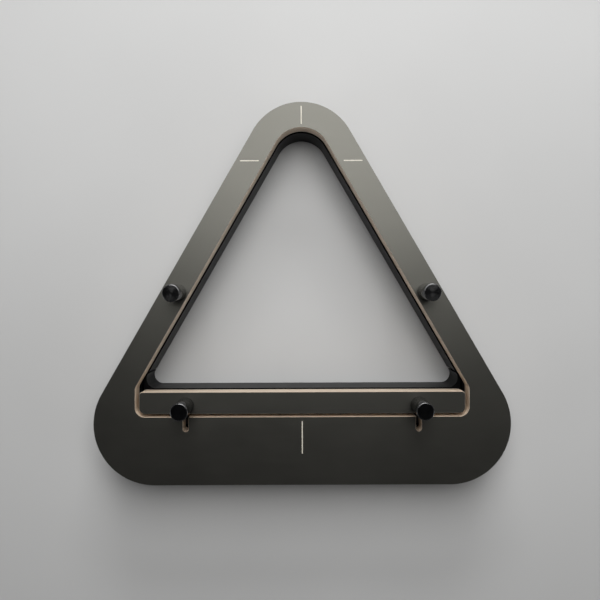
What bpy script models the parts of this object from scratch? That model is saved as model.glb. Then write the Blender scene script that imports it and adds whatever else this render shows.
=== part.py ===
"""Triangle rack for fifteen pool balls, with a sliding rear bar that squeezes the balls together.

Every outline is drawn around the centre of the ball triangle: +Y points to the apex, +Z is up and
z = 0 is the cloth that the rack stands on. Two empties carry the pieces: rack_centre holds the fixed
frame, and slider_axis holds everything that slides along Y with the rear bar. Lengths are in metres.
"""
import math

import bmesh
import bpy
from mathutils import Matrix, Vector

# Driving dimensions -------------------------------------------------------------------------------
BALL_DIAMETER = 0.05715
BALLS_PER_SIDE = 5

WALL_HEIGHT = 0.0367           # height of the lower walls, just under the plate
PLATE_LOW = 0.0370             # underside of the plate
PLATE_HIGH = 0.0550            # top of the plate
SKIN_THICKNESS = 0.0008        # laminate skin on each face of the plate
FIT_GAP = 0.0003               # between pieces that touch

RAIL_WIDTH = 0.0255            # plate material beside the opening, along the two sides
LIP = 0.0015                   # the plate's opening is set back this far from the contact walls
PLATE_REAR = -0.1869           # rear edge of the plate
APEX_RADIUS = 0.0546
REAR_CORNER_RADIUS = 0.0597

RECESS_REAR = -0.1202          # rear edge of the recess that the bar slides in
RECESS_BLEND = 0.0100
RECESS_CORNER = 0.0094
SLOT_WIDTH = 0.0055
SLOT_END = -0.1345

BAR_LENGTH = 0.3200
BAR_FRONT = -0.0959
BAR_REAR = -0.1172
BAR_REAR_CORNER = 0.0060
BAR_FRONT_CORNER = 0.0030
FORWARD_TRAVEL = 0.0015
REARWARD_TRAVEL = 0.0027

PUSHER_THICKNESS = 0.0100
CORNER_FILLET = 0.0095         # where the pusher turns into the side walls
HORN_WIDTH = 0.0042            # tip of the pusher's curved end

WALL_INSET = 0.0100            # lower walls stay this far inside the plate's edge
REAR_RAIL_BACK = -0.1500
REAR_RAIL_CORNER = 0.0200
WALL_HALF_WIDTH = 0.1936       # lower walls at the rear corners
WALL_TURN_RADIUS = 0.0300
APEX_JOINT = 0.1050            # distance from a side's middle to its joint with the apex rail
TONGUE_WIDTH = 0.0100
TONGUE_LOW = 0.0263
TONGUE_REAR = -0.1310

KNOB_RADIUS = 0.0084
KNOB_HEIGHT = 0.0350
KNOB_EDGE = 0.0008
SIDE_KNOB_PLACE = (0.1213, 0.0017)
BAR_KNOB_PLACE = (0.1143, -0.1088)
STUD_RADIUS = 0.0025
STUD_LOW = 0.0285
STUD_GRIP = 0.0200             # length of stud inside a knob

INLAY_WIDTH = 0.0010
APEX_INLAY = (0.1666, 0.1845)
REAR_INLAY = (-0.1563, -0.1244)
SIDE_INLAY = (0.0415, 0.0601)
SIDE_INLAY_Y = 0.1309

SCREW_RADIUS = 0.0022
SCREW_HEAD_RADIUS = 0.0042
SCREW_HEAD_LOW = 0.0030
SCREW_TOP = 0.0500
COUNTERBORE_DEPTH = 0.0080
SIDE_SCREWS = (-0.1150, -0.0200, 0.0700)      # places along a side rail
APEX_SCREW = 0.1240                           # place along each leg of the apex rail
REAR_SCREW_Y = -0.1375
REAR_SCREWS = (-0.1500, -0.0600, 0.0600, 0.1500)
PUSHER_SCREWS = (-0.1350, 0.0, 0.1350)
PUSHER_SCREW_RADIUS = 0.0016
PUSHER_HEAD_RADIUS = 0.0030

DOWEL_RADIUS = 0.0030
DOWEL_LENGTH = 0.0200
DOWEL_HEIGHT = 0.0140
REAR_DOWEL_X = 0.1790

ARC_STEP = math.radians(6)
TURNED_SIDES = 36
FASTENER_SIDES = 12

# Derived places -----------------------------------------------------------------------------------
BALL_RADIUS = BALL_DIAMETER / 2
CONTACT = (BALLS_PER_SIDE - 1) * BALL_DIAMETER / (2 * math.sqrt(3)) + BALL_RADIUS
OPENING = CONTACT + LIP
OUTER = OPENING + RAIL_WIDTH
WALL_OUTER = OUTER - WALL_INSET
RECESS_HALF_WIDTH = CONTACT * math.sqrt(3)
PLATE_FRONT = 2 * OUTER - APEX_RADIUS
RACK_Y = -(PLATE_FRONT + PLATE_REAR) / 2
WALL_MIDDLE = (CONTACT + WALL_OUTER) / 2
CORE_LOW = PLATE_LOW + SKIN_THICKNESS + FIT_GAP
CORE_HIGH = PLATE_HIGH - SKIN_THICKNESS - FIT_GAP
PUSHER_REAR = -CONTACT - PUSHER_THICKNESS
HORN_TIP = -CONTACT + CORNER_FILLET * 1.5 + FIT_GAP
NOTCH_FRONT = HORN_TIP + FORWARD_TRAVEL + 2 * FIT_GAP
RAIL_JOINT = RECESS_REAR - LIP
CHANNEL_END = TONGUE_REAR - REARWARD_TRAVEL - 2 * FIT_GAP


# Materials ----------------------------------------------------------------------------------------
def make_material(name, color, roughness, metallic=0.0):
    material = bpy.data.materials.new(name)
    material.use_nodes = True
    shader = material.node_tree.nodes["Principled BSDF"]
    shader.inputs["Base Color"].default_value = (*color, 1.0)
    shader.inputs["Roughness"].default_value = roughness
    shader.inputs["Metallic"].default_value = metallic
    return material


# Outlines -----------------------------------------------------------------------------------------
def side_x(distance, y):
    """X of the right side line that lies at a distance from the centre, at height y."""
    return (distance - y / 2) / math.cos(math.radians(30))


def on_side(distance, along, hand=1):
    """A point beside a side's middle: outward by distance, towards the apex by along."""
    x = distance * math.cos(math.radians(30)) - along * math.sin(math.radians(30))
    y = distance * math.sin(math.radians(30)) + along * math.cos(math.radians(30))
    return hand * x, y


def rounded(corners):
    """Outline through (x, y, radius) corners, each rounded by an arc of its own radius."""
    points = []
    for index, (x, y, radius) in enumerate(corners):
        corner = Vector((x, y))
        before = (Vector(corners[index - 1][:2]) - corner).normalized()
        after = (Vector(corners[(index + 1) % len(corners)][:2]) - corner).normalized()
        if radius == 0:
            points.append(corner)
            continue
        half_angle = before.angle(after) / 2
        centre = corner + (before + after).normalized() * radius / math.sin(half_angle)
        start = corner + before * radius / math.tan(half_angle) - centre
        turn = math.pi - 2 * half_angle
        if before.cross(after) > 0:
            turn = -turn
        steps = max(2, math.ceil(abs(turn) / ARC_STEP))
        for step in range(steps + 1):
            points.append(centre + Matrix.Rotation(turn * step / steps, 2) @ start)
    return points


def mirrored(corners):
    """The corners, followed by their mirror image in the centre line."""
    return corners + [(-x, y, radius) for x, y, radius in reversed(corners) if abs(x) > 1e-9]


def circle(x, y, radius, sides=FASTENER_SIDES):
    turns = (2 * math.pi * side / sides for side in range(sides))
    return [Vector((x + radius * math.cos(turn), y + radius * math.sin(turn))) for turn in turns]


def box_outline(x_low, y_low, x_high, y_high):
    return [Vector(point) for point in ((x_low, y_low), (x_high, y_low), (x_high, y_high), (x_low, y_high))]


# Meshes -------------------------------------------------------------------------------------------
def add_prism(bm, outlines, z_low, z_high):
    """Extrude the area inside the first outline and outside the others."""
    edges = []
    for outline in outlines:
        ring = [bm.verts.new((point.x, point.y, z_low)) for point in outline]
        edges += [bm.edges.new((ring[index - 1], ring[index])) for index in range(len(ring))]
    filled = bmesh.ops.triangle_fill(bm, use_beauty=True, use_dissolve=False, edges=edges)
    faces = [item for item in filled["geom"] if isinstance(item, bmesh.types.BMFace)]
    lifted = bmesh.ops.extrude_face_region(bm, geom=faces, use_keep_orig=True)
    for item in lifted["geom"]:
        if isinstance(item, bmesh.types.BMVert):
            item.co.z = z_high
    bmesh.ops.recalc_face_normals(bm, faces=bm.faces)


def add_turned(bm, profile, sides, matrix=Matrix.Identity(4)):
    """Turn a profile of (radius, z) steps, bottom to top, about the Z axis of the matrix."""
    rings = []
    for radius, z in profile:
        ring = [bm.verts.new(matrix @ point.to_3d() + matrix.to_3x3() @ Vector((0, 0, z)))
                for point in circle(0, 0, radius, sides)]
        rings.append(ring)
    for low, high in zip(rings, rings[1:]):
        for index in range(sides):
            bm.faces.new((low[index - 1], low[index], high[index], high[index - 1]))
    bm.faces.new(list(reversed(rings[0])))
    bm.faces.new(rings[-1])


def make_object(name, bm, material, parent, origin=(0, 0, 0)):
    """Turn the bmesh into a named object whose own origin is at a point of its parent's frame."""
    bmesh.ops.translate(bm, vec=-Vector(origin), verts=bm.verts)
    mesh = bpy.data.meshes.new(name)
    bm.to_mesh(mesh)
    bm.free()
    mesh.materials.append(material)
    piece = bpy.data.objects.new(name, mesh)
    bpy.context.scene.collection.objects.link(piece)
    piece.parent = parent
    piece.location = origin
    return piece


def prism(name, outlines, z_low, z_high, material, parent):
    bm = bmesh.new()
    add_prism(bm, outlines, z_low, z_high)
    return make_object(name, bm, material, parent)


def soften(piece, width):
    """Chamfer the piece's sharp edges."""
    bevel = piece.modifiers.new("soft_edges", "BEVEL")
    bevel.width = width
    bevel.segments = 1
    bevel.limit_method = "ANGLE"
    bevel.angle_limit = math.radians(40)


def shade_round(piece):
    piece.data.shade_smooth()
    piece.data.set_sharp_from_angle(angle=math.radians(35))


def drill(piece, cutter):
    """Cut the cutter's shape out of the piece."""
    cutter.hide_render = True
    cutter.display_type = "WIRE"
    boolean = piece.modifiers.new("drill_" + cutter.name, "BOOLEAN")
    boolean.object = cutter
    boolean.operation = "DIFFERENCE"
    boolean.solver = "EXACT"


def make_empty(name, location):
    empty = bpy.data.objects.new(name, None)
    empty.location = location
    bpy.context.scene.collection.objects.link(empty)
    return empty


# Sub-parts ----------------------------------------------------------------------------------------
def plate_outline():
    apex = (0, 2 * OUTER, APEX_RADIUS)
    corner = (side_x(OUTER, PLATE_REAR), PLATE_REAR, REAR_CORNER_RADIUS)
    return rounded(mirrored([apex, corner]))


def opening_outline():
    """The ball triangle, which widens at the rear into the bar's recess with its two slots."""
    knob_x = BAR_KNOB_PLACE[0]
    half_slot = SLOT_WIDTH / 2
    entry = 0.0004
    blend_y = 2 * (OPENING - RECESS_HALF_WIDTH * math.cos(math.radians(30)))
    return rounded(mirrored([
        (0, 2 * OPENING, BALL_RADIUS),
        (RECESS_HALF_WIDTH, blend_y, RECESS_BLEND),
        (RECESS_HALF_WIDTH, RECESS_REAR, RECESS_CORNER),
        (knob_x + half_slot, RECESS_REAR, entry),
        (knob_x + half_slot, SLOT_END, half_slot * 0.98),
        (knob_x - half_slot, SLOT_END, half_slot * 0.98),
        (knob_x - half_slot, RECESS_REAR, entry),
    ]))


def frame_screw_places():
    """Screws that come up through the lower walls into the plate's core."""
    places = [on_side(WALL_MIDDLE, along, hand) for hand in (1, -1) for along in SIDE_SCREWS]
    places += [on_side(WALL_MIDDLE, APEX_SCREW, hand) for hand in (1, -1)]
    places += [(x, REAR_SCREW_Y) for x in REAR_SCREWS]
    return places


def both_sides(place):
    return [(hand * place[0], place[1]) for hand in (-1, 1)]


def inlay_boxes():
    half = INLAY_WIDTH / 2
    x_low, x_high = SIDE_INLAY
    return {
        "inlay_apex": (-half, APEX_INLAY[0], half, APEX_INLAY[1]),
        "inlay_left": (-x_high, SIDE_INLAY_Y - half, -x_low, SIDE_INLAY_Y + half),
        "inlay_right": (x_low, SIDE_INLAY_Y - half, x_high, SIDE_INLAY_Y + half),
        "inlay_rear": (-half, REAR_INLAY[0], half, REAR_INLAY[1]),
    }


def make_plate(root, black, wood, ivory):
    ring = [plate_outline(), opening_outline()]
    studs = [circle(x, y, STUD_RADIUS + FIT_GAP) for x, y in both_sides(SIDE_KNOB_PLACE)]
    screws = [circle(x, y, SCREW_RADIUS + FIT_GAP) for x, y in frame_screw_places()]
    prism("plate_core", ring + studs + screws, CORE_LOW, CORE_HIGH, wood, root)
    prism("plate_bottom_laminate", ring + studs + screws, PLATE_LOW, PLATE_LOW + SKIN_THICKNESS, black, root)
    skin_low = PLATE_HIGH - SKIN_THICKNESS
    grooves = []
    for name, (x_low, y_low, x_high, y_high) in inlay_boxes().items():
        prism(name, [box_outline(x_low, y_low, x_high, y_high)], skin_low, PLATE_HIGH, ivory, root)
        grooves.append(box_outline(x_low - FIT_GAP, y_low - FIT_GAP, x_high + FIT_GAP, y_high + FIT_GAP))
    prism("plate_top_laminate", ring + studs + grooves, skin_low, PLATE_HIGH, black, root)


def make_bar(slider, black, wood):
    half = BAR_LENGTH / 2
    outline = rounded(mirrored([(half, BAR_FRONT, BAR_FRONT_CORNER), (half, BAR_REAR, BAR_REAR_CORNER)]))
    studs = [circle(x, y, STUD_RADIUS + FIT_GAP) for x, y in both_sides(BAR_KNOB_PLACE)]
    screw_y = (PUSHER_REAR - CONTACT) / 2
    screws = [circle(x, screw_y, PUSHER_SCREW_RADIUS + FIT_GAP) for x in PUSHER_SCREWS]
    prism("bar_core", [outline] + studs + screws, CORE_LOW, CORE_HIGH, wood, slider)
    prism("bar_bottom_laminate", [outline] + studs + screws, PLATE_LOW, PLATE_LOW + SKIN_THICKNESS,
          black, slider)
    prism("bar_top_laminate", [outline] + studs, PLATE_HIGH - SKIN_THICKNESS, PLATE_HIGH, black, slider)


def make_side_rail(hand, root, gloss):
    """One side's lower wall. Its rear end steps outward to clear the pusher's curved end."""
    step_x = BAR_LENGTH / 2 + LIP
    turn_y = 2 * (WALL_OUTER - WALL_HALF_WIDTH * math.cos(math.radians(30)))
    corners = rounded([
        (*on_side(CONTACT, APEX_JOINT), 0),
        (side_x(CONTACT, NOTCH_FRONT), NOTCH_FRONT, 0),
        (step_x, NOTCH_FRONT, 0),
        (step_x, RAIL_JOINT, 0),
        (WALL_HALF_WIDTH, RAIL_JOINT, 0),
        (WALL_HALF_WIDTH, turn_y, WALL_TURN_RADIUS),
        (*on_side(WALL_OUTER, APEX_JOINT), 0),
    ])
    outline = [Vector((hand * corner.x, corner.y)) for corner in corners]
    stud = circle(hand * SIDE_KNOB_PLACE[0], SIDE_KNOB_PLACE[1], STUD_RADIUS + FIT_GAP)
    name = "side_rail_right" if hand > 0 else "side_rail_left"
    rail = prism(name, [outline, stud], 0, WALL_HEIGHT, gloss, root)
    soften(rail, 0.0006)
    return rail


def make_apex_rail(root, gloss):
    joint = APEX_JOINT + FIT_GAP
    outline = rounded([
        (*on_side(CONTACT, joint), 0),
        (0, 2 * CONTACT, BALL_RADIUS - LIP),
        (*on_side(CONTACT, joint, -1), 0),
        (*on_side(WALL_OUTER, joint, -1), 0),
        (0, 2 * WALL_OUTER, APEX_RADIUS - WALL_INSET),
        (*on_side(WALL_OUTER, joint), 0),
    ])
    rail = prism("apex_rail", [outline], 0, WALL_HEIGHT, gloss, root)
    soften(rail, 0.0006)
    return rail


def make_rear_rail(root, gloss):
    """Cross wall under the plate's rear, with a ledge under the bar and two channels for the tongues."""
    joint = RAIL_JOINT - FIT_GAP
    ledge_front = PUSHER_REAR - REARWARD_TRAVEL - 2 * FIT_GAP
    ledge_x = BAR_LENGTH / 2 + LIP - FIT_GAP
    outline = rounded(mirrored([
        (ledge_x, ledge_front, 0),
        (ledge_x, joint, 0),
        (WALL_HALF_WIDTH, joint, 0),
        (WALL_HALF_WIDTH, REAR_RAIL_BACK, REAR_RAIL_CORNER),
    ]))
    rail = prism("rear_rail", [outline], 0, WALL_HEIGHT, gloss, root)
    soften(rail, 0.0006)
    half = TONGUE_WIDTH / 2 + FIT_GAP
    bm = bmesh.new()
    for x, y in both_sides(BAR_KNOB_PLACE):
        channel = box_outline(x - half, CHANNEL_END, x + half, ledge_front + 0.01)
        add_prism(bm, [channel], TONGUE_LOW - FIT_GAP, WALL_HEIGHT + 0.01)
    drill(rail, make_object("tongue_channels", bm, gloss, root))
    return rail


def make_pusher(slider, gloss):
    """Wall under the bar that touches the rear row of balls, with its ends curved forward."""
    tip_x = side_x(CONTACT, HORN_TIP)
    outline = rounded(mirrored([
        (RECESS_HALF_WIDTH, -CONTACT, CORNER_FILLET),
        (tip_x, HORN_TIP, 0),
        (tip_x + HORN_WIDTH, HORN_TIP, 0),
        (tip_x + HORN_WIDTH, PUSHER_REAR, 0),
    ]))
    pusher = prism("pusher", [outline], 0.0006, WALL_HEIGHT, gloss, slider)
    soften(pusher, 0.0005)
    return pusher


def make_guide_tongue(name, x, slider, gloss):
    """Flat tongue behind the pusher: it runs in the rear rail's channel, under the plate."""
    half = TONGUE_WIDTH / 2
    outline = box_outline(x - half, TONGUE_REAR, x + half, PUSHER_REAR - FIT_GAP)
    stud = circle(x, BAR_KNOB_PLACE[1], STUD_RADIUS + FIT_GAP)
    prism(name, [outline, stud], TONGUE_LOW, WALL_HEIGHT - FIT_GAP, gloss, slider)


def make_knob(name, x, y, parent, gloss):
    """Round peg with a rounded top edge, bored from below for its stud."""
    low = PLATE_HIGH + FIT_GAP
    high = PLATE_HIGH + KNOB_HEIGHT
    bore = STUD_RADIUS + FIT_GAP
    bore_top = low + STUD_GRIP + 2 * FIT_GAP
    edge = [(KNOB_RADIUS - KNOB_EDGE * (1 - math.cos(math.radians(turn))),
             high - KNOB_EDGE * (1 - math.sin(math.radians(turn)))) for turn in (0, 30, 60, 90)]
    foot = [(KNOB_RADIUS - 0.0003, low), (KNOB_RADIUS, low + 0.0003)]
    bm = bmesh.new()
    add_turned(bm, foot + edge, TURNED_SIDES, Matrix.Translation((x, y, 0)))
    knob = make_object(name, bm, gloss, parent, (x, y, PLATE_HIGH))
    shade_round(knob)
    bm = bmesh.new()
    add_turned(bm, [(bore, low - 0.01), (bore, bore_top)], FASTENER_SIDES, Matrix.Translation((x, y, 0)))
    drill(knob, make_object(name + "_bore", bm, gloss, parent))


def make_stud(name, x, y, parent, steel):
    bm = bmesh.new()
    high = PLATE_HIGH + STUD_GRIP
    chamfer = 0.0005
    profile = [(STUD_RADIUS - chamfer, STUD_LOW), (STUD_RADIUS, STUD_LOW + chamfer),
               (STUD_RADIUS, high - chamfer), (STUD_RADIUS - chamfer, high)]
    add_turned(bm, profile, FASTENER_SIDES, Matrix.Translation((x, y, 0)))
    shade_round(make_object(name, bm, steel, parent, (x, y, PLATE_HIGH)))


def screw_profile(radius, head_radius, grow=0.0):
    """A screw from below. With grow, the hole that it needs: wider, and open below the head."""
    head_low = SCREW_HEAD_LOW if grow == 0 else -0.01
    head_high = COUNTERBORE_DEPTH - FIT_GAP + grow
    shank_high = SCREW_TOP + 2 * grow
    return [(head_radius + grow, head_low), (head_radius + grow, head_high),
            (radius + grow, head_high + 0.0001), (radius + grow, shank_high)]


def add_screw(bm, place, radius, head_radius, grow=0.0):
    profile = screw_profile(radius, head_radius, grow)
    add_turned(bm, profile, FASTENER_SIDES, Matrix.Translation((*place, 0)))


def fit_screws(name, places, radius, head_radius, walls, steel, parent):
    """Numbered screws through the walls, with a counterbored hole for each."""
    holes = bmesh.new()
    for number, place in enumerate(places, start=1):
        bm = bmesh.new()
        add_screw(bm, place, radius, head_radius)
        shade_round(make_object(f"{name}_{number}", bm, steel, parent))
        add_screw(holes, place, radius, head_radius, FIT_GAP)
    cutter = make_object(name + "_holes", holes, steel, parent)
    for wall in walls:
        drill(wall, cutter)


def dowel_matrices():
    """Two dowels join the side rails to the apex rail, and two join them to the rear rail."""
    matrices = []
    for hand in (1, -1):
        x, y = on_side(WALL_MIDDLE, APEX_JOINT, hand)
        lean = Matrix.Rotation(math.radians(hand * 30), 4, "Z") @ Matrix.Rotation(math.radians(-90), 4, "X")
        matrices.append(Matrix.Translation((x, y, DOWEL_HEIGHT)) @ lean)
        straight = Matrix.Rotation(math.radians(-90), 4, "X")
        matrices.append(Matrix.Translation((hand * REAR_DOWEL_X, RAIL_JOINT, DOWEL_HEIGHT)) @ straight)
    return matrices


def add_dowel(bm, matrix, grow=0.0):
    half = DOWEL_LENGTH / 2 + 2 * grow
    add_turned(bm, [(DOWEL_RADIUS + grow, -half), (DOWEL_RADIUS + grow, half)], FASTENER_SIDES, matrix)


def fit_dowels(walls, wood, parent):
    holes = bmesh.new()
    for number, matrix in enumerate(dowel_matrices(), start=1):
        bm = bmesh.new()
        add_dowel(bm, matrix)
        shade_round(make_object(f"rail_dowel_{number}", bm, wood, parent))
        add_dowel(holes, matrix, FIT_GAP)
    cutter = make_object("dowel_holes", holes, wood, parent)
    for wall in walls:
        drill(wall, cutter)


def main():
    for item in list(bpy.data.objects):
        bpy.data.objects.remove(item, do_unlink=True)

    laminate = make_material("graphite_laminate", (0.035, 0.035, 0.033), 0.42)
    core = make_material("ply_core", (0.56, 0.42, 0.29), 0.65)
    ivory = make_material("ivory_inlay", (0.80, 0.76, 0.66), 0.45)
    gloss = make_material("gloss_black", (0.012, 0.012, 0.013), 0.15)
    slide = make_material("slide_black", (0.02, 0.02, 0.02), 0.35)
    steel = make_material("screw_steel", (0.45, 0.45, 0.46), 0.35, metallic=1.0)
    dowel = make_material("dowel_wood", (0.62, 0.47, 0.30), 0.70)

    root = make_empty("rack_centre", (0, RACK_Y, 0))
    slider = make_empty("slider_axis", (0, RACK_Y, 0))

    make_plate(root, laminate, core, ivory)
    side_rails = [make_side_rail(hand, root, gloss) for hand in (-1, 1)]
    walls = side_rails + [make_apex_rail(root, gloss), make_rear_rail(root, gloss)]
    fit_screws("frame_screw", frame_screw_places(), SCREW_RADIUS, SCREW_HEAD_RADIUS, walls, steel, root)
    fit_dowels(walls, dowel, root)

    make_bar(slider, laminate, core)
    pusher = make_pusher(slider, gloss)
    pusher_screws = [(x, (PUSHER_REAR - CONTACT) / 2) for x in PUSHER_SCREWS]
    fit_screws("pusher_screw", pusher_screws, PUSHER_SCREW_RADIUS, PUSHER_HEAD_RADIUS, [pusher], steel,
               slider)

    for hand, side in ((-1, "left"), (1, "right")):
        x, y = SIDE_KNOB_PLACE
        make_knob("side_knob_" + side, hand * x, y, root, gloss)
        make_stud("side_knob_stud_" + side, hand * x, y, root, steel)
        x, y = BAR_KNOB_PLACE
        make_knob("bar_knob_" + side, hand * x, y, slider, gloss)
        make_stud("bar_knob_stud_" + side, hand * x, y, slider, steel)
        make_guide_tongue("guide_tongue_" + side, hand * x, slider, slide)


main()
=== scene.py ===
"""Looks of the triangle rack: a black laminated plywood plate over gloss walls, seen from above."""

import math

import bmesh
import bpy
from mathutils import Matrix, Vector


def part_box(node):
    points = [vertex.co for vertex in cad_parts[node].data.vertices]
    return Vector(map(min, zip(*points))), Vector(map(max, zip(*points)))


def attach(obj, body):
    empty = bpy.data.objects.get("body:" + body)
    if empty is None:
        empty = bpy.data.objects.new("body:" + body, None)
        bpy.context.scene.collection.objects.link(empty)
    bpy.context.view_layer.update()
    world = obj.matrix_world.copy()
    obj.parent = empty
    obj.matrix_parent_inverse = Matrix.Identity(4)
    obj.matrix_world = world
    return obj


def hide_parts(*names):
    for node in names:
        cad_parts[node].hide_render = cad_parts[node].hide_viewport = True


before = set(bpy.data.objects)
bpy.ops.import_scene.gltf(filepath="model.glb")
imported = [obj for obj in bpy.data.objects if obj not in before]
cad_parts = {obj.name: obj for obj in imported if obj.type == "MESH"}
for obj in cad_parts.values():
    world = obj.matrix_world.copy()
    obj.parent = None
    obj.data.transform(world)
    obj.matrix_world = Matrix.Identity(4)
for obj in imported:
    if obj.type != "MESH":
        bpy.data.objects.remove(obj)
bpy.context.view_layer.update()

COS_30 = math.cos(math.radians(30))
SIN_30 = math.sin(math.radians(30))

# Sizes in metres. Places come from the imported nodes; these are the shapes that a box doesn't tell.
BALL_RADIUS = 0.05715 / 2
CONTACT = 4 * BALL_RADIUS / math.sqrt(3) + BALL_RADIUS    # ball triangle's centre to a contact wall
LIP = 0.0015
OPENING = CONTACT + LIP
RAIL_WIDTH = 0.0255
OUTER = OPENING + RAIL_WIDTH
APEX_RADIUS = 0.0546
REAR_CORNER_RADIUS = 0.0597
RECESS_HALF_WIDTH = CONTACT * math.sqrt(3)
RECESS_REAR = -0.1202
RECESS_BLEND = 0.0100
RECESS_CORNER = 0.0094
SLOT_WIDTH = 0.0055
SLOT_END = -0.1345
BAR_REAR_CORNER = 0.0060
BAR_FRONT_CORNER = 0.0030
CORNER_FILLET = 0.0095
WALL_INSET = 0.0100
WALL_OUTER = OUTER - WALL_INSET
REAR_RAIL_CORNER = 0.0200
WALL_TURN_RADIUS = 0.0300
APEX_JOINT = 0.1050               # from the middle of a side to its joint with the apex wall
FIT_GAP = 0.0003                  # between pieces that fit together
SLIDE_FORWARD = 0.0015
SLIDE_REARWARD = 0.0027
PLATE_SCREW_BORE = 0.0024
BAR_SCREW_BORE = 0.0018
SCREW_HEAD_TOP = 0.0080
SCREW_HOLE_STEP = 0.0001          # height of the sloping step in a counterbored hole
SCREW_SHANK_SHARE = 0.55          # a hole's shank radius, as a share of its head radius
SHANK_FIT = 0.88                  # the screw's shank in that hole
THREAD_ROOT = 0.86                # the thread's root, as a share of the shank's radius
THREAD_START = 0.45               # where the thread begins, as a share of the shank's length
THREAD_PITCH = 0.0010
SCREW_TIP = 0.0008
HEAD_ROLL = 0.12                  # rolled edge of a screw head, as a share of its radius
SOCKET_RADIUS = 0.55              # hexagon socket, as a share of the head's radius
SOCKET_DEPTH = 0.0022
KNOB_ROLL = 0.0010                # rolled edge at the top of a knob
KNOB_ROLL_STEPS = 8
KNOB_FOOT = 0.0006                # undercut at its foot
KNOB_FOOT_HEIGHTS = (0.0005, 0.0007, 0.0011)
KNOB_FACE_RINGS = (0.86, 0.5, 0.15)
INLAY_PROUD = 0.00002

# Finish of the edges
SKIN_ROUND = 0.00018
SKIN_SETBACK = 0.00035            # the top skin stops this far short of the eased plywood edge
PLY_ROUND = 0.0008
WALL_EDGE = 0.0006
SLOT_ENTRY = 0.0004
ROUND_END = 0.98                  # share of a strip's half width that its round ends take
VENEER = 0.0020
ARC_STEP = math.radians(2)
SMALL_ARC = 0.0030                # arcs below this radius have steps five times as long
SMALL_STEP = 5 * ARC_STEP
KNOB_SIDES = 96
SCREW_SIDES = 32
BEYOND = 0.0100                   # how far a cut runs past the surface that it opens
SAME_PLACE = 1e-6

# Studio
CAMERA_FIELD = 50.1
CAMERA_HEIGHT = 0.684
CAMERA_OFFSET = (0.0002, 0.0070)  # from above the ball triangle's centre
CAMERA_SHIFT = (-0.0033, -0.0216)
CAMERA_ROLL = -0.20
PANEL_HEIGHT = 1.15
KEY_PANEL = ((-0.40, 0.11), (0.52, 1.50))
KEY_RADIANCE = 4.55
OVERHEAD_PANEL = ((-0.40, -0.22), (0.52, 0.11))
OVERHEAD_RADIANCE = 0.06
LIGHT_TARGET = (0, 0, 0.04)
WINDOW_PLACE = (0.15, 2.3, 1.0)
WINDOW_SIZE = (1.3, 0.5)
WINDOW_POWER = 26
FILL_PLACE = (1.7, -0.7, 0.75)
FILL_SIZE = (0.8, 0.8)
FILL_POWER = 3
FLOOR_RADIUS = 4.0
HORIZON_GLOW = 0.45
ZENITH_GLOW = 0.01
GLOW_FADES = (0.05, 0.45)         # heights, of 1 overhead, between which the first turns to the second
# How much lighter the rounded skin edges are painted than the laminate: a painted edge highlight.
EDGE_HIGHLIGHT_LIFT = 2.2


def low(node):
    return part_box(node)[0]


def high(node):
    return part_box(node)[1]


def middle(node):
    return (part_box(node)[0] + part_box(node)[1]) / 2


# The centre of the ball triangle, which every outline is drawn around
RACK_Y = high("plate_core").y - (2 * OUTER - APEX_RADIUS)
NOTCH_FRONT = high("pusher").y + SLIDE_FORWARD + 2 * FIT_GAP
NODES = list(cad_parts)
FRAME_SCREWS = [node for node in NODES if node.startswith("frame_screw")]
PUSHER_SCREWS = [node for node in NODES if node.startswith("pusher_screw")]
INLAYS = ["inlay_" + place for place in ("apex", "left", "right", "rear")]
SIDES = ("left", "right")


# Outlines -----------------------------------------------------------------------------------------
def side_x(distance, y):
    """X of the right side line that lies at a distance from the centre, at height y."""
    return (distance - y / 2) / COS_30


def on_side(distance, along, hand=1):
    """A point beside a side's middle: outward by distance, towards the apex by along."""
    x = distance * COS_30 - along * SIN_30
    y = distance * SIN_30 + along * COS_30
    return hand * x, y


def rounded(corners):
    """Outline through (x, y, radius) corners, each rounded by an arc of its own radius."""
    points = []
    for index, (x, y, radius) in enumerate(corners):
        corner = Vector((x, y))
        before = (Vector(corners[index - 1][:2]) - corner).normalized()
        after = (Vector(corners[(index + 1) % len(corners)][:2]) - corner).normalized()
        if radius == 0:
            points.append(corner)
            continue
        half_angle = before.angle(after) / 2
        centre = corner + (before + after).normalized() * radius / math.sin(half_angle)
        start = corner + before * radius / math.tan(half_angle) - centre
        turn = math.pi - 2 * half_angle
        if before.cross(after) > 0:
            turn = -turn
        steps = max(3, math.ceil(abs(turn) / (SMALL_STEP if radius < SMALL_ARC else ARC_STEP)))
        for step in range(steps + 1):
            points.append(centre + Matrix.Rotation(turn * step / steps, 2) @ start)
    return points


def mirrored(corners):
    """The corners, followed by their mirror image in the centre line."""
    return corners + [(-x, y, radius) for x, y, radius in reversed(corners) if abs(x) > SAME_PLACE]


def circle(x, y, radius, sides=SCREW_SIDES):
    turns = (2 * math.pi * side / sides for side in range(sides))
    return [Vector((x + radius * math.cos(turn), y + radius * math.sin(turn))) for turn in turns]


def box_outline(x_low, y_low, x_high, y_high):
    corners = ((x_low, y_low), (x_high, y_low), (x_high, y_high), (x_low, y_high))
    return [Vector(corner) for corner in corners]


def node_outline(node):
    """The rectangle that a node fills, seen from above, around the rack's centre."""
    return box_outline(low(node).x, low(node).y - RACK_Y, high(node).x, high(node).y - RACK_Y)


def node_circle(node, radius=None, grow=0.0):
    """The circle that a round node fills, seen from above, around the rack's centre."""
    if radius is None:
        radius = (high(node).x - low(node).x) / 2
    return circle(middle(node).x, middle(node).y - RACK_Y, radius + grow)


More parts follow.
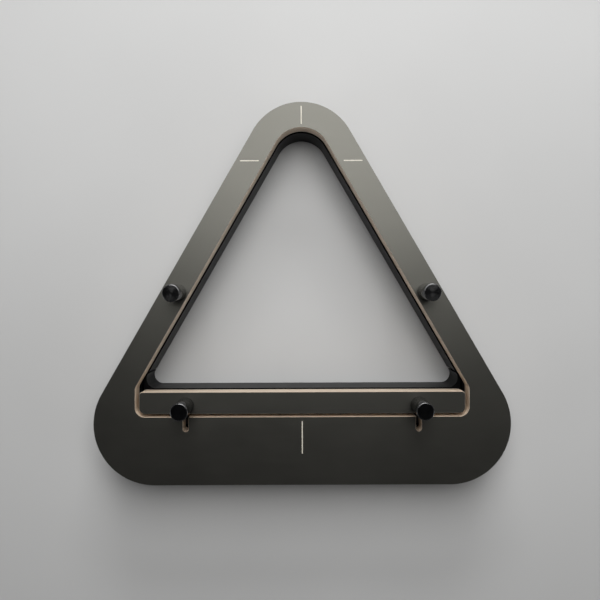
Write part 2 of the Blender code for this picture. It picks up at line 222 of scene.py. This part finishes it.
# Meshes -------------------------------------------------------------------------------------------
def add_prism(bm, outlines, z_low, z_high):
    """Extrude the area inside the first outline and outside the others."""
    edges = []
    for outline in outlines:
        ring = [bm.verts.new((point.x, point.y + RACK_Y, z_low)) for point in outline]
        edges += [bm.edges.new((ring[index - 1], ring[index])) for index in range(len(ring))]
    filled = bmesh.ops.triangle_fill(bm, use_beauty=True, use_dissolve=False, edges=edges)
    faces = [item for item in filled["geom"] if isinstance(item, bmesh.types.BMFace)]
    lifted = bmesh.ops.extrude_face_region(bm, geom=faces, use_keep_orig=True)
    for item in lifted["geom"]:
        if isinstance(item, bmesh.types.BMVert):
            item.co.z = z_high
    bmesh.ops.recalc_face_normals(bm, faces=bm.faces)


def add_turned(bm, profile, sides, centre):
    """Turn a profile of (radius, z) steps, bottom to top, about the upright line through centre."""
    rings = []
    for radius, z in profile:
        points = circle(centre.x, centre.y, radius, sides)
        rings.append([bm.verts.new((point.x, point.y, z)) for point in points])
    for below, above in zip(rings, rings[1:]):
        for index in range(sides):
            bm.faces.new((below[index - 1], below[index], above[index], above[index - 1]))
    bm.faces.new(list(reversed(rings[0])))
    bm.faces.new(rings[-1])


def make_piece(name, bm, materials, body, origin=(0, 0, 0), smooth_angle=30):
    bmesh.ops.translate(bm, vec=-Vector(origin), verts=bm.verts)
    mesh = bpy.data.meshes.new(name)
    bm.to_mesh(mesh)
    bm.free()
    for material in materials:
        mesh.materials.append(material)
    mesh.shade_smooth()
    mesh.set_sharp_from_angle(angle=math.radians(smooth_angle))
    piece = bpy.data.objects.new(name, mesh)
    bpy.context.scene.collection.objects.link(piece)
    piece.location = origin
    bpy.context.view_layer.update()
    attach(piece, body)
    return piece


def soften(piece, width, segments=3, material=-1):
    """Round the sharp edges, and keep the flats flat in the shading."""
    bevel = piece.modifiers.new("soft_edges", "BEVEL")
    bevel.width = width
    bevel.segments = segments
    bevel.limit_method = "ANGLE"
    bevel.angle_limit = math.radians(40)
    bevel.material = material
    bevel.miter_outer = "MITER_ARC"
    bevel.use_clamp_overlap = True
    piece.modifiers.new("flat_shading", "WEIGHTED_NORMAL")


def drill(piece, name, bm, smooth_angle=30):
    """Cut the bmesh's shape out of the piece for good, so that later modifiers see the hole."""
    mesh = bpy.data.meshes.new(name)
    bm.to_mesh(mesh)
    bm.free()
    cutter = bpy.data.objects.new(name, mesh)
    bpy.context.scene.collection.objects.link(cutter)
    boolean = piece.modifiers.new(name, "BOOLEAN")
    boolean.object = cutter
    boolean.solver = "EXACT"
    depsgraph = bpy.context.evaluated_depsgraph_get()
    cut = bpy.data.meshes.new_from_object(piece.evaluated_get(depsgraph), depsgraph=depsgraph)
    piece.modifiers.remove(boolean)
    piece.data = cut
    cut.shade_smooth()
    cut.set_sharp_from_angle(angle=math.radians(smooth_angle))
    bpy.data.objects.remove(cutter, do_unlink=True)


# Materials ----------------------------------------------------------------------------------------
class Look:
    """A material under construction: its node tree, its shader and the coordinates to paint by."""

    def __init__(self, name, roughness, metallic=0.0, ior=1.5, specular=0.5):
        self.material = bpy.data.materials.new(name)
        self.material.use_nodes = True
        self.nodes = self.material.node_tree.nodes
        self.links = self.material.node_tree.links
        self.shader = self.nodes["Principled BSDF"]
        self.shader.inputs["Roughness"].default_value = roughness
        self.shader.inputs["Metallic"].default_value = metallic
        self.shader.inputs["IOR"].default_value = ior
        self.shader.inputs["Specular IOR Level"].default_value = specular
        self.place = self.nodes.new("ShaderNodeTexCoord").outputs["Object"]

    def stretched(self, scale, rotation=(0, 0, 0)):
        """The piece's own coordinates, stretched along its axes."""
        mapping = self.nodes.new("ShaderNodeMapping")
        mapping.inputs["Scale"].default_value = scale
        mapping.inputs["Rotation"].default_value = [math.radians(turn) for turn in rotation]
        self.links.new(self.place, mapping.inputs["Vector"])
        return mapping.outputs["Vector"]

    def noise(self, scale, detail=3.0, roughness=0.5, place=None, distortion=0.0):
        noise = self.nodes.new("ShaderNodeTexNoise")
        noise.inputs["Scale"].default_value = scale
        noise.inputs["Detail"].default_value = detail
        noise.inputs["Roughness"].default_value = roughness
        noise.inputs["Distortion"].default_value = distortion
        self.links.new(place or self.place, noise.inputs["Vector"])
        return noise.outputs["Fac"]

    def ramp(self, factor, stops):
        """Blend between (position, colour or grey) stops."""
        ramp = self.nodes.new("ShaderNodeValToRGB")
        elements = ramp.color_ramp.elements
        while len(elements) < len(stops):
            elements.new(0.5)
        for element, (position, color) in zip(elements, stops):
            if not isinstance(color, tuple):
                color = (color, color, color)
            element.position = position
            element.color = (*color, 1.0)
        self.links.new(factor, ramp.inputs["Fac"])
        return ramp.outputs["Color"]

    def mix(self, factor, first, second):
        """Mix two colours, each a socket or an RGB value. factor is a socket or a number."""
        mix = self.nodes.new("ShaderNodeMix")
        mix.data_type = "RGBA"
        sockets = [socket for socket in mix.inputs if socket.type == "RGBA"]
        factor_socket = mix.inputs[0]
        if isinstance(factor, float):
            factor_socket.default_value = factor
        else:
            self.links.new(factor, factor_socket)
        for socket, value in zip(sockets, (first, second)):
            if isinstance(value, tuple):
                socket.default_value = (*value, 1.0)
            else:
                self.links.new(value, socket)
        return [socket for socket in mix.outputs if socket.type == "RGBA"][0]

    def maths(self, operation, first, second=0.0):
        maths = self.nodes.new("ShaderNodeMath")
        maths.operation = operation
        for socket, value in zip(maths.inputs, (first, second)):
            if isinstance(value, float):
                socket.default_value = value
            else:
                self.links.new(value, socket)
        return maths.outputs["Value"]

    def paint(self, color):
        self.links.new(color, self.shader.inputs["Base Color"])

    def vary_roughness(self, factor, least, most):
        value = self.nodes.new("ShaderNodeMapRange")
        value.inputs["To Min"].default_value = least
        value.inputs["To Max"].default_value = most
        self.links.new(factor, value.inputs["Value"])
        self.links.new(value.outputs["Result"], self.shader.inputs["Roughness"])

    def emboss(self, height, distance, strength=1.0):
        bump = self.nodes.new("ShaderNodeBump")
        bump.inputs["Strength"].default_value = strength
        bump.inputs["Distance"].default_value = distance
        self.links.new(height, bump.inputs["Height"])
        self.links.new(bump.outputs["Normal"], self.shader.inputs["Normal"])


def laminate_look(name, light=1.0):
    """Satin graphite laminate with a fine pebbled grain and faint handling marks.

    light lifts the colour; the lifted copy is a painted highlight on the rounded edges of the skins."""
    look = Look(name, 0.38, ior=1.6, specular=0.9)
    look.shader.inputs["Specular Tint"].default_value = (1.0, 0.98, 0.87, 1.0)
    cloud = look.noise(14, detail=4, roughness=0.6)
    fleck = look.noise(2600, detail=2)
    dark = tuple(light * value for value in (0.0045, 0.0044, 0.0040))
    pale = tuple(light * value for value in (0.0095, 0.0092, 0.0083))
    base = look.ramp(cloud, [(0.30, dark), (0.72, pale)])
    look.paint(look.mix(look.ramp(fleck, [(0.35, 0.0), (0.75, 0.35)]), base, (0.018, 0.0175, 0.0154)))
    streaks = look.noise(30, detail=5, roughness=0.65, place=look.stretched((1.0, 6.0, 1.0), (0, 0, 25)))
    look.vary_roughness(look.mix(0.5, cloud, streaks), 0.34, 0.43)
    look.emboss(look.mix(0.6, fleck, look.noise(900, detail=3)), 0.00004, 0.55)
    return look.material


def ply_look():
    """Sealed plywood edge: thin veneers in layers, with darker glue lines and streaky grain."""
    look = Look("ply_edge", 0.45, specular=0.5)
    separate = look.nodes.new("ShaderNodeSeparateXYZ")
    look.links.new(look.place, separate.inputs["Vector"])
    wobble = look.maths("MULTIPLY", look.noise(40, detail=2), 0.00035)
    level = look.maths("ADD", separate.outputs["Z"], wobble)
    layer = look.maths("FRACT", look.maths("MULTIPLY", level, 1 / VENEER))
    cell = look.maths("FLOOR", look.maths("MULTIPLY", level, 1 / VENEER))
    tone = look.nodes.new("ShaderNodeTexWhiteNoise")
    tone.noise_dimensions = "1D"
    look.links.new(cell, tone.inputs["W"])
    veneer = look.ramp(tone.outputs["Value"], [(0.0, (0.68, 0.545, 0.415)), (0.55, (0.82, 0.70, 0.565)),
                                               (1.0, (0.90, 0.81, 0.69))])
    glue = look.ramp(layer, [(0.0, 0.62), (0.10, 0.0), (0.88, 0.0), (1.0, 0.62)])
    grain = look.noise(260, detail=5, roughness=0.7, place=look.stretched((1.0, 1.0, 9.0)))
    grained = look.mix(look.ramp(grain, [(0.38, 0.40), (0.66, 0.0)]), veneer, (0.50, 0.37, 0.26))
    look.paint(look.mix(glue, grained, (0.34, 0.225, 0.145)))
    look.vary_roughness(grain, 0.40, 0.60)
    look.emboss(look.mix(0.5, grain, layer), 0.00006, 0.5)
    return look.material


def ivory_look():
    look = Look("ivory_inlay", 0.38, specular=0.45)
    cloud = look.noise(300, detail=4)
    look.paint(look.ramp(cloud, [(0.3, (0.60, 0.56, 0.47)), (0.7, (0.78, 0.74, 0.64))]))
    look.vary_roughness(cloud, 0.34, 0.50)
    look.emboss(look.noise(2400), 0.00003, 0.4)
    return look.material


def wall_look():
    """Black acrylic walls: polished, with faint smears and hair scratches along their length."""
    look = Look("wall_gloss", 0.30, specular=0.03)
    smear = look.noise(24, detail=5, roughness=0.6, distortion=0.6)
    look.paint(look.ramp(smear, [(0.35, (0.0022, 0.0022, 0.0024)), (0.7, (0.0055, 0.0055, 0.0059))]))
    scratch = look.noise(120, detail=6, roughness=0.75, place=look.stretched((1.0, 1.0, 14.0)))
    look.vary_roughness(look.mix(0.5, smear, scratch), 0.20, 0.40)
    look.emboss(look.mix(0.25, look.noise(70, detail=2), scratch), 0.00005, 0.35)
    return look.material


def knob_look(name, roughness, ior, specular, rings=False):
    """Gloss black turned knob. The piece's own Z axis is the knob's axis."""
    look = Look(name, roughness, ior=ior, specular=specular)
    cloud = look.noise(160, detail=4)
    look.paint(look.ramp(cloud, [(0.3, (0.0012, 0.0012, 0.0014)), (0.75, (0.0032, 0.0032, 0.0036))]))
    look.vary_roughness(cloud, roughness * 0.8, roughness * 1.35)
    if rings:
        wave = look.nodes.new("ShaderNodeTexWave")
        wave.wave_type = "RINGS"
        wave.rings_direction = "Z"
        wave.inputs["Scale"].default_value = 900
        wave.inputs["Distortion"].default_value = 0.6
        look.links.new(look.place, wave.inputs["Vector"])
        look.emboss(look.mix(0.4, wave.outputs["Fac"], cloud), 0.00003, 0.5)
    else:
        look.emboss(look.noise(500, detail=2), 0.00002, 0.3)
    return look.material


def slide_look():
    look = Look("slide_black", 0.38, specular=0.45)
    cloud = look.noise(90, detail=4)
    look.paint(look.ramp(cloud, [(0.3, (0.012, 0.012, 0.012)), (0.7, (0.028, 0.028, 0.027))]))
    scratch = look.noise(200, detail=5, roughness=0.7, place=look.stretched((8.0, 1.0, 8.0)))
    look.vary_roughness(scratch, 0.28, 0.50)
    look.emboss(scratch, 0.00004, 0.4)
    return look.material


def steel_look():
    look = Look("screw_steel", 0.32, metallic=1.0)
    cloud = look.noise(420, detail=5, roughness=0.65)
    look.paint(look.ramp(cloud, [(0.3, (0.36, 0.36, 0.37)), (0.7, (0.58, 0.57, 0.55))]))
    look.vary_roughness(cloud, 0.24, 0.46)
    look.emboss(look.noise(1500, detail=3), 0.00003, 0.4)
    return look.material


def dowel_look():
    look = Look("dowel_wood", 0.66, specular=0.3)
    grain = look.noise(220, detail=5, roughness=0.7, place=look.stretched((5.0, 1.0, 5.0)))
    look.paint(look.ramp(grain, [(0.3, (0.42, 0.29, 0.17)), (0.7, (0.66, 0.50, 0.33))]))
    look.vary_roughness(grain, 0.55, 0.75)
    look.emboss(grain, 0.00006, 0.5)
    return look.material


# Plate and bar ------------------------------------------------------------------------------------
def plate_outlines():
    apex = (0, 2 * OUTER, APEX_RADIUS)
    rear = low("plate_core").y - RACK_Y
    corner = (side_x(OUTER, rear), rear, REAR_CORNER_RADIUS)
    knob_x = middle("bar_knob_right").x
    half_slot = SLOT_WIDTH / 2
    blend_y = 2 * (OPENING - RECESS_HALF_WIDTH * COS_30)
    opening = rounded(mirrored([
        (0, 2 * OPENING, BALL_RADIUS),
        (RECESS_HALF_WIDTH, blend_y, RECESS_BLEND),
        (RECESS_HALF_WIDTH, RECESS_REAR, RECESS_CORNER),
        (knob_x + half_slot, RECESS_REAR, SLOT_ENTRY),
        (knob_x + half_slot, SLOT_END, half_slot * ROUND_END),
        (knob_x - half_slot, SLOT_END, half_slot * ROUND_END),
        (knob_x - half_slot, RECESS_REAR, SLOT_ENTRY),
    ]))
    return [rounded(mirrored([apex, corner])), opening]


def bar_outline():
    lowest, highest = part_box("bar_core")
    return rounded(mirrored([(highest.x, highest.y - RACK_Y, BAR_FRONT_CORNER),
                             (highest.x, lowest.y - RACK_Y, BAR_REAR_CORNER)]))


def moved(outline, distance):
    """The outline with every point moved to its left, seen along the outline, by a distance."""
    points = []
    for index, point in enumerate(outline):
        along = (outline[(index + 1) % len(outline)] - outline[index - 1]).normalized()
        points.append(point + distance * Vector((-along.y, along.x)))
    return points


def left_is_inside(outline):
    """1 when the outline's left is its inside, and -1 when it is its outside."""
    area = sum(outline[index - 1].cross(point) for index, point in enumerate(outline))
    return 1 if area > 0 else -1


def ease_top(piece, outline, top, width):
    """Round the top edges along one outline only, by edge weight."""
    mesh = piece.data
    centre = Vector((0, RACK_Y))
    on_edge = set()
    for vertex in mesh.vertices:
        place = vertex.co.xy - centre
        away = min((place - point).length for point in outline)
        if abs(vertex.co.z - top) < SAME_PLACE and away < SAME_PLACE:
            on_edge.add(vertex.index)
    weights = mesh.attributes.new("bevel_weight_edge", "FLOAT", "EDGE")
    for edge in mesh.edges:
        if on_edge.issuperset(edge.vertices):
            weights.data[edge.index].value = 1.0
    bevel = piece.modifiers.new("eased_top", "BEVEL")
    bevel.width = width
    bevel.segments = 4
    bevel.limit_method = "WEIGHT"
    bevel.miter_outer = "MITER_ARC"
    piece.modifiers.new("flat_shading", "WEIGHTED_NORMAL").keep_sharp = True


def make_board(prefix, outlines, inner, screws, body, looks):
    """Plywood between two laminate skins. The top skin stops short of the eased inner edge.

    The first outline is the outside, and inner is the outline whose top edge is eased."""
    skin, skin_highlight, ply = looks
    top, bottom, core = prefix + "_top_laminate", prefix + "_bottom_laminate", prefix + "_core"
    stud = ("side" if prefix == "plate" else "bar") + "_knob_stud_"
    studs = [node_circle(stud + side, grow=FIT_GAP) for side in SIDES]
    bm = bmesh.new()
    add_prism(bm, outlines + studs + screws, high(bottom).z, low(top).z)
    wood = make_piece(prefix + "_ply", bm, [ply], body)
    ease_top(wood, inner, low(top).z, PLY_ROUND)
    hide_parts(core)
    bm = bmesh.new()
    add_prism(bm, outlines + studs + screws, low(bottom).z, high(bottom).z)
    under = make_piece(prefix + "_skin_under", bm, [skin, skin_highlight], body)
    # Both skins give their rounded edges the lighter laminate: a painted edge highlight.
    soften(under, SKIN_ROUND, material=1)
    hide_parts(bottom)
    wood_side = left_is_inside(inner) if inner is outlines[0] else -left_is_inside(inner)
    trimmed = [moved(line, wood_side * SKIN_SETBACK) if line is inner else line for line in outlines]
    bm = bmesh.new()
    add_prism(bm, trimmed + studs, low(top).z, high(top).z)
    over = make_piece(prefix + "_skin_over", bm, [skin, skin_highlight], body)
    soften(over, SKIN_ROUND, material=1)
    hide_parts(top)


def make_inlay(node, ivory):
    """Strip pressed into a routed groove with round ends, a hair proud of the laminate."""
    lowest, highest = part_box(node)
    half = min(highest.x - lowest.x, highest.y - lowest.y) / 2
    outline = rounded([(point.x, point.y, half * ROUND_END) for point in node_outline(node)])
    bm = bmesh.new()
    add_prism(bm, [outline], lowest.z, highest.z + INLAY_PROUD)
    inlay = make_piece(node + "_strip", bm, [ivory], "frame")
    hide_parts(node)


# Lower walls --------------------------------------------------------------------------------------
def add_screw_holes(bm, nodes):
    """Counterbored holes for screws that come up from below."""
    for node in nodes:
        radius = (high(node).x - low(node).x) / 2 + FIT_GAP
        shank = radius * SCREW_SHANK_SHARE
        profile = [(radius, low(node).z - 2 * BEYOND), (radius, SCREW_HEAD_TOP),
                   (shank, SCREW_HEAD_TOP + SCREW_HOLE_STEP), (shank, high(node).z)]
        add_turned(bm, profile, SCREW_SIDES, middle(node))


def make_wall(name, node, outlines, cuts, body, gloss):
    """A polished wall as high as its node. The cuts are made before its edges are eased."""
    bm = bmesh.new()
    add_prism(bm, outlines, low(node).z, high(node).z)
    wall = make_piece(name, bm, [gloss], body)
    bm = bmesh.new()
    cuts(bm)
    drill(wall, name + "_cuts", bm)
    soften(wall, WALL_EDGE)
    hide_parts(node)


def side_wall_outlines(hand):
    """The side wall steps outward at its rear end to clear the pusher's curved end."""
    step_x = high("bar_core").x + LIP
    notch = NOTCH_FRONT - RACK_Y
    joint = low("side_rail_right").y - RACK_Y
    half_width = high("side_rail_right").x
    turn_y = 2 * (WALL_OUTER - half_width * COS_30)
    corners = rounded([
        (*on_side(CONTACT, APEX_JOINT), 0),
        (side_x(CONTACT, notch), notch, 0),
        (step_x, notch, 0),
        (step_x, joint, 0),
        (half_width, joint, 0),
        (half_width, turn_y, WALL_TURN_RADIUS),
        (*on_side(WALL_OUTER, APEX_JOINT), 0),
    ])
    stud = node_circle("side_knob_stud_right", grow=FIT_GAP)
    return [[Vector((hand * point.x, point.y)) for point in outline] for outline in (corners, stud)]


def apex_wall_outline():
    joint = APEX_JOINT + FIT_GAP
    return rounded([
        (*on_side(CONTACT, joint), 0),
        (0, 2 * CONTACT, BALL_RADIUS - LIP),
        (*on_side(CONTACT, joint, -1), 0),
        (*on_side(WALL_OUTER, joint, -1), 0),
        (0, 2 * WALL_OUTER, APEX_RADIUS - WALL_INSET),
        (*on_side(WALL_OUTER, joint), 0),
    ])


def rear_wall_outline():
    lowest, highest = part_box("rear_rail")
    joint = low("side_rail_right").y - RACK_Y - FIT_GAP
    ledge_x = high("bar_core").x + LIP - FIT_GAP
    return rounded(mirrored([
        (ledge_x, highest.y - RACK_Y, 0),
        (ledge_x, joint, 0),
        (highest.x, joint, 0),
        (highest.x, lowest.y - RACK_Y, REAR_RAIL_CORNER),
    ]))


def add_tongue_channels(bm):
    """Channels that the guide tongues slide in, open at the front and at the top."""
    for side in SIDES:
        lowest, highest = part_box("guide_tongue_" + side)
        rear = lowest.y - RACK_Y - SLIDE_REARWARD - 2 * FIT_GAP
        front = highest.y - RACK_Y + BEYOND
        channel = box_outline(lowest.x - FIT_GAP, rear, highest.x + FIT_GAP, front)
        add_prism(bm, [channel], lowest.z - FIT_GAP, highest.z + BEYOND)


def pusher_outline():
    lowest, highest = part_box("pusher")
    tip_y = highest.y - RACK_Y
    return rounded(mirrored([
        (RECESS_HALF_WIDTH, -CONTACT, CORNER_FILLET),
        (side_x(CONTACT, tip_y), tip_y, 0),
        (highest.x, tip_y, 0),
        (highest.x, lowest.y - RACK_Y, 0),
    ]))


# Knobs, tongues and fasteners ---------------------------------------------------------------------
def make_knob(node, body, looks):
    """Turned peg: an undercut foot, a gloss side and a faced top inside a satin rolled edge."""
    lowest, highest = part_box(node)
    centre = middle(node)
    radius = (highest.x - lowest.x) / 2
    foot = radius - KNOB_FOOT
    flat, flare, waist = (lowest.z + height for height in KNOB_FOOT_HEIGHTS)
    profile = [(foot, lowest.z), (foot, flat), (radius - KNOB_FOOT / 3, flare), (radius, waist)]
    for step in range(KNOB_ROLL_STEPS + 1):
        turn = math.radians(90 * step / KNOB_ROLL_STEPS)
        profile.append((radius - KNOB_ROLL * (1 - math.cos(turn)),
                        highest.z - KNOB_ROLL * (1 - math.sin(turn))))
    profile += [(radius * share, highest.z) for share in KNOB_FACE_RINGS]
    bm = bmesh.new()
    add_turned(bm, profile, KNOB_SIDES, centre)
    bm.normal_update()
    for face in bm.faces:
        if face.calc_center_median().z > highest.z - KNOB_ROLL:
            level = face.normal.z > 0.999
            face.material_index = 1 if level else 2
    knob = make_piece(node + "_peg", bm, looks, body, (centre.x, centre.y, lowest.z))
    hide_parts(node)


def make_tongue(node, slide):
    lowest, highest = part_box(node)
    stud = node_circle(node.replace("guide_tongue", "bar_knob_stud"), grow=FIT_GAP)
    bm = bmesh.new()
    add_prism(bm, [node_outline(node), stud], lowest.z, highest.z)
    tongue = make_piece(node + "_block", bm, [slide], "slider")
    soften(tongue, WALL_EDGE)
    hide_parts(node)


def make_screw(node, body, steel):
    """Cap screw from below: a rolled head with a hexagon socket, and a threaded shank."""
    lowest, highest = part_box(node)
    centre = middle(node)
    radius = (highest.x - lowest.x) / 2
    shank = radius * SCREW_SHANK_SHARE * SHANK_FIT
    root = shank * THREAD_ROOT
    roll = radius * HEAD_ROLL
    head_top = SCREW_HEAD_TOP - FIT_GAP
    profile = [(radius - roll, lowest.z), (radius - roll * 0.3, lowest.z + roll * 0.3),
               (radius, lowest.z + roll), (radius, head_top), (shank * 1.05, head_top),
               (shank, SCREW_HEAD_TOP)]
    thread_low = SCREW_HEAD_TOP + (highest.z - SCREW_HEAD_TOP) * THREAD_START
    turns = int((highest.z - THREAD_PITCH - thread_low) / THREAD_PITCH)
    for turn in range(turns):
        z = thread_low + turn * THREAD_PITCH
        profile += [(root, z), (shank, z + THREAD_PITCH / 2)]
    profile += [(root, highest.z - SCREW_TIP), (shank * 0.5, highest.z)]
    bm = bmesh.new()
    add_turned(bm, profile, SCREW_SIDES, centre)
    screw = make_piece(node + "_steel", bm, [steel], body, smooth_angle=35)
    bm = bmesh.new()
    hexagon = circle(centre.x, centre.y - RACK_Y, radius * SOCKET_RADIUS, 6)
    add_prism(bm, [hexagon], lowest.z - BEYOND / 10, lowest.z + SOCKET_DEPTH)
    drill(screw, node + "_socket", bm)
    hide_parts(node)


# Camera, lights and floor -------------------------------------------------------------------------
def make_floor():
    look = Look("studio_floor", 0.85, specular=0.2)
    cloud = look.noise(3, detail=3)
    look.paint(look.ramp(cloud, [(0.3, (0.565, 0.565, 0.56)), (0.7, (0.60, 0.60, 0.595))]))
    bm = bmesh.new()
    bmesh.ops.create_circle(bm, cap_ends=True, segments=64, radius=FLOOR_RADIUS)
    mesh = bpy.data.meshes.new("studio_floor")
    bm.to_mesh(mesh)
    bm.free()
    mesh.materials.append(look.material)
    floor = bpy.data.objects.new("studio_floor", mesh)
    bpy.context.scene.collection.objects.link(floor)


def make_light(name, place, size, power, target=LIGHT_TARGET):
    data = bpy.data.lights.new(name, "AREA")
    data.shape = "RECTANGLE"
    data.size, data.size_y = size
    data.energy = power
    light = bpy.data.objects.new(name, data)
    light.location = place
    light.rotation_euler = (Vector(target) - Vector(place)).to_track_quat("-Z", "Y").to_euler()
    bpy.context.scene.collection.objects.link(light)


def make_panel(name, corners, radiance):
    """Level light panel that fills a rectangle overhead and shines straight down."""
    lowest, highest = corners
    size = (highest[0] - lowest[0], highest[1] - lowest[1])
    place = ((lowest[0] + highest[0]) / 2, (lowest[1] + highest[1]) / 2, PANEL_HEIGHT)
    below = (place[0], place[1], 0)
    make_light(name, place, size, radiance * math.pi * size[0] * size[1], below)


def make_camera():
    """Straight down, with a small shift that frames the rack."""
    data = bpy.data.cameras.new("overhead_camera")
    data.sensor_width = 36
    data.lens = data.sensor_width / 2 / math.tan(math.radians(CAMERA_FIELD / 2))
    data.shift_x, data.shift_y = CAMERA_SHIFT
    camera = bpy.data.objects.new("overhead_camera", data)
    camera.location = (CAMERA_OFFSET[0], RACK_Y + CAMERA_OFFSET[1], CAMERA_HEIGHT)
    camera.rotation_euler = (0, 0, math.radians(CAMERA_ROLL))
    bpy.context.scene.collection.objects.link(camera)
    bpy.context.scene.camera = camera


def make_surroundings():
    """Pale towards the horizon, for the sides, and dark overhead, so that the panels shape the top."""
    world = bpy.data.worlds.new("studio")
    world.use_nodes = True
    nodes, links = world.node_tree.nodes, world.node_tree.links
    separate = nodes.new("ShaderNodeSeparateXYZ")
    links.new(nodes.new("ShaderNodeTexCoord").outputs["Generated"], separate.inputs["Vector"])
    height = nodes.new("ShaderNodeMapRange")
    height.inputs["From Min"].default_value, height.inputs["From Max"].default_value = GLOW_FADES
    height.inputs["To Min"].default_value = HORIZON_GLOW
    height.inputs["To Max"].default_value = ZENITH_GLOW
    links.new(separate.outputs["Z"], height.inputs["Value"])
    background = nodes["Background"]
    background.inputs["Color"].default_value = (0.96, 0.97, 1.0, 1.0)
    links.new(height.outputs["Result"], background.inputs["Strength"])
    bpy.context.scene.world = world
    bpy.context.scene.view_settings.view_transform = "Standard"


def main():
    make_camera()
    make_surroundings()
    make_panel("key_panel", KEY_PANEL, KEY_RADIANCE)
    make_panel("overhead_panel", OVERHEAD_PANEL, OVERHEAD_RADIANCE)
    make_light("window_light", WINDOW_PLACE, WINDOW_SIZE, WINDOW_POWER)
    x, y, z = FILL_PLACE
    make_light("left_fill", (-x, y, z), FILL_SIZE, FILL_POWER)
    make_light("right_fill", (x, y, z), FILL_SIZE, FILL_POWER)
    make_floor()

    # The second laminate is the first one painted lighter, as a highlight on the rounded skin edges.
    board = (laminate_look("laminate"), laminate_look("laminate_edge_highlight", EDGE_HIGHLIGHT_LIFT), ply_look())
    ivory, gloss, slide, steel = ivory_look(), wall_look(), slide_look(), steel_look()
    knob = (knob_look("knob_side", 0.07, 1.5, 0.05), knob_look("knob_top", 0.12, 1.5, 0.40, True),
            knob_look("knob_rim", 0.20, 1.8, 0.7))

    outside, opening = plate_outlines()
    plate_screws = [node_circle(node, PLATE_SCREW_BORE) for node in FRAME_SCREWS]
    make_board("plate", [outside, opening], opening, plate_screws, "frame", board)
    bar = bar_outline()
    bar_screws = [node_circle(node, BAR_SCREW_BORE) for node in PUSHER_SCREWS]
    make_board("bar", [bar], bar, bar_screws, "slider", board)
    for node in INLAYS:
        make_inlay(node, ivory)

    def frame_holes(bm):
        add_screw_holes(bm, FRAME_SCREWS)

    def rear_cuts(bm):
        add_screw_holes(bm, FRAME_SCREWS)
        add_tongue_channels(bm)

    def pusher_holes(bm):
        add_screw_holes(bm, PUSHER_SCREWS)

    for hand, side in ((1, "right"), (-1, "left")):
        make_wall("side_wall_" + side, "side_rail_" + side, side_wall_outlines(hand), frame_holes,
                  "frame", gloss)
    make_wall("apex_wall", "apex_rail", [apex_wall_outline()], frame_holes, "frame", gloss)
    make_wall("rear_wall", "rear_rail", [rear_wall_outline()], rear_cuts, "frame", gloss)
    make_wall("pusher_wall", "pusher", [pusher_outline()], pusher_holes, "slider", gloss)

    for side in SIDES:
        make_knob("side_knob_" + side, "frame", knob)
        make_knob("bar_knob_" + side, "slider", knob)
        make_tongue("guide_tongue_" + side, slide)
    for node in FRAME_SCREWS:
        make_screw(node, "frame", steel)
    for node in PUSHER_SCREWS:
        make_screw(node, "slider", steel)
    carried = {"rail_dowel": dowel_look(), "knob_stud": steel}
    for node in NODES:
        for part, material in carried.items():
            if part in node:
                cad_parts[node].data.materials.clear()
                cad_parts[node].data.materials.append(material)


main()
